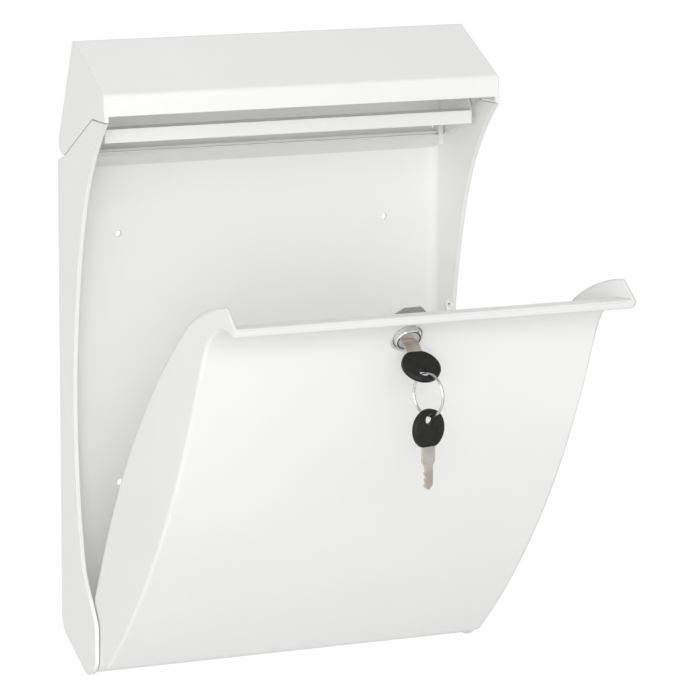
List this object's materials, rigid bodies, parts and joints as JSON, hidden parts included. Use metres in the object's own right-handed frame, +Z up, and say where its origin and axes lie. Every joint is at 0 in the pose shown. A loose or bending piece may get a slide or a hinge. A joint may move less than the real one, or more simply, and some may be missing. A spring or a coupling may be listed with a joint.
{
  "type": "wall mailbox",
  "caption": "White plastic wall mailbox: rear housing, lifting hood over the mail slot, drop-down front door with a scooped lip, cam lock, and keys on a ring.",
  "frame": {"origin": "middle of the four wall holes, on the back face", "axes": "+X across the width, to the right seen from the front; +Y into the wall; +Z up"},
  "size_m": [0.282, 0.2937, 0.421],
  "materials": {
    "white_plastic": "satin moulded",
    "lock_chrome": "bright plated",
    "zinc_steel": "zinc plated",
    "key_steel": "nickel plated",
    "ring_steel": "plated wire",
    "black_plastic": "moulded"
  },
  "bodies": {
    "housing": {"rear_housing": "white_plastic", "strike_bar": "white_plastic"},
    "hood": {"hood": "white_plastic"},
    "door": {"front_door": "white_plastic", "lock_body": "lock_chrome", "lock_clip": "zinc_steel"},
    "lock": {"lock_plug": "lock_chrome", "lock_cam": "zinc_steel", "cam_washer": "zinc_steel", "cam_screw": "zinc_steel", "key_1_blade": "key_steel", "key_1_bow": "black_plastic"},
    "ring": {"key_ring": "ring_steel"},
    "second_key": {"key_2_blade": "key_steel", "key_2_bow": "black_plastic"}
  },
  "joints": [
    {"name": "hood_lift", "type": "hinge", "parent": "housing", "child": "hood", "pos_m": [0, -0.01, 0.1485], "axis": [-1, 0, 0], "range_deg": [0, 23]},
    {"name": "door_shut", "type": "hinge", "parent": "housing", "child": "door", "pos_m": [0, -0.04, -0.175], "axis": [-1, 0, 0], "range_deg": [0, 37.5]},
    {"name": "lock_turn", "type": "hinge", "parent": "door", "child": "lock", "pos_m": [0, -0.25, 0.04578], "axis": [0, -0.7934, -0.6088], "range_deg": [0, 90]},
    {"name": "ring_swing", "type": "hinge", "parent": "lock", "child": "ring", "pos_m": [0, -0.27253, 0.0285], "axis": [0.9563, 0.2924, 0], "range_deg": [-20, 1]},
    {"name": "second_key_swing", "type": "hinge", "parent": "ring", "child": "second_key", "pos_m": [0.00115, -0.27628, 0.00228], "axis": [0.2924, -0.9563, 0], "range_deg": [-25, 25]}
  ]
}
